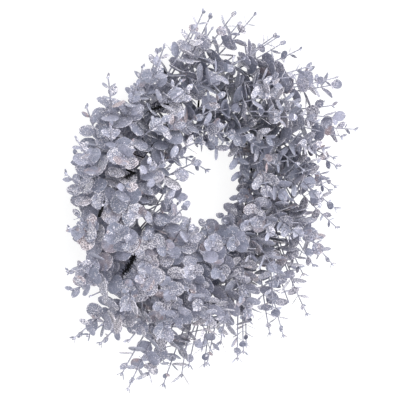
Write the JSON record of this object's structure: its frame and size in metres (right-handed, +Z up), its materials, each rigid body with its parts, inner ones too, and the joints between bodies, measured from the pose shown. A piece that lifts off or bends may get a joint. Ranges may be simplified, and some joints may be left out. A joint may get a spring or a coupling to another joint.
{
  "type": "eucalyptus wreath",
  "caption": "Round wreath of silvered eucalyptus sprays that sweep one way round a wire frame of two tied hoops, with an open middle, lying on its back.",
  "frame": {"origin": "middle of the wreath's box, on the surface that the hoops' flat feet rest on", "axes": "+Z up out of the wreath's front, +Y towards the side that is at the top in the picture, +X to its right"},
  "size_m": [0.5341, 0.556, 0.1147],
  "materials": {
    "dark_wire": "dull black",
    "silvered_foliage": "silver-grey with a satin sheen, some leaves glittered"
  },
  "bodies": {
    "root": {"wire_frame": "dark_wire", "outer_spray_01": "silvered_foliage", "outer_spray_02": "silvered_foliage", "outer_spray_03": "silvered_foliage", "outer_spray_04": "silvered_foliage", "outer_spray_05": "silvered_foliage", "outer_spray_06": "silvered_foliage", "outer_spray_07": "silvered_foliage", "outer_spray_08": "silvered_foliage", "outer_spray_09": "silvered_foliage", "outer_spray_10": "silvered_foliage", "outer_spray_11": "silvered_foliage", "outer_spray_12": "silvered_foliage", "outer_spray_13": "silvered_foliage", "outer_spray_14": "silvered_foliage", "outer_spray_15": "silvered_foliage", "outer_spray_16": "silvered_foliage", "outer_spray_17": "silvered_foliage", "outer_spray_18": "silvered_foliage", "outer_spray_19": "silvered_foliage", "outer_spray_20": "silvered_foliage", "outer_spray_21": "silvered_foliage", "outer_spray_22": "silvered_foliage", "outer_spray_23": "silvered_foliage", "outer_spray_24": "silvered_foliage", "outer_spray_25": "silvered_foliage", "outer_spray_26": "silvered_foliage", "outer_spray_27": "silvered_foliage", "hole_sprig_01": "silvered_foliage", "crown_spray_01": "silvered_foliage", "crown_spray_02": "silvered_foliage", "crown_spray_03": "silvered_foliage", "crown_spray_04": "silvered_foliage", "crown_spray_05": "silvered_foliage", "crown_spray_06": "silvered_foliage", "crown_spray_07": "silvered_foliage", "crown_spray_08": "silvered_foliage", "crown_spray_09": "silvered_foliage", "crown_spray_10": "silvered_foliage", "crown_spray_11": "silvered_foliage", "crown_spray_12": "silvered_foliage", "inner_spray_01": "silvered_foliage", "inner_spray_02": "silvered_foliage", "inner_spray_03": "silvered_foliage", "inner_spray_04": "silvered_foliage", "inner_spray_05": "silvered_foliage", "inner_spray_06": "silvered_foliage", "inner_spray_07": "silvered_foliage", "inner_spray_08": "silvered_foliage", "inner_spray_09": "silvered_foliage", "inner_spray_10": "silvered_foliage", "inner_spray_11": "silvered_foliage", "throat_spray_01": "silvered_foliage", "throat_spray_02": "silvered_foliage", "throat_spray_03": "silvered_foliage", "throat_spray_04": "silvered_foliage", "throat_spray_05": "silvered_foliage", "throat_spray_06": "silvered_foliage", "throat_spray_07": "silvered_foliage", "throat_spray_08": "silvered_foliage"}
  },
  "joints": []
}
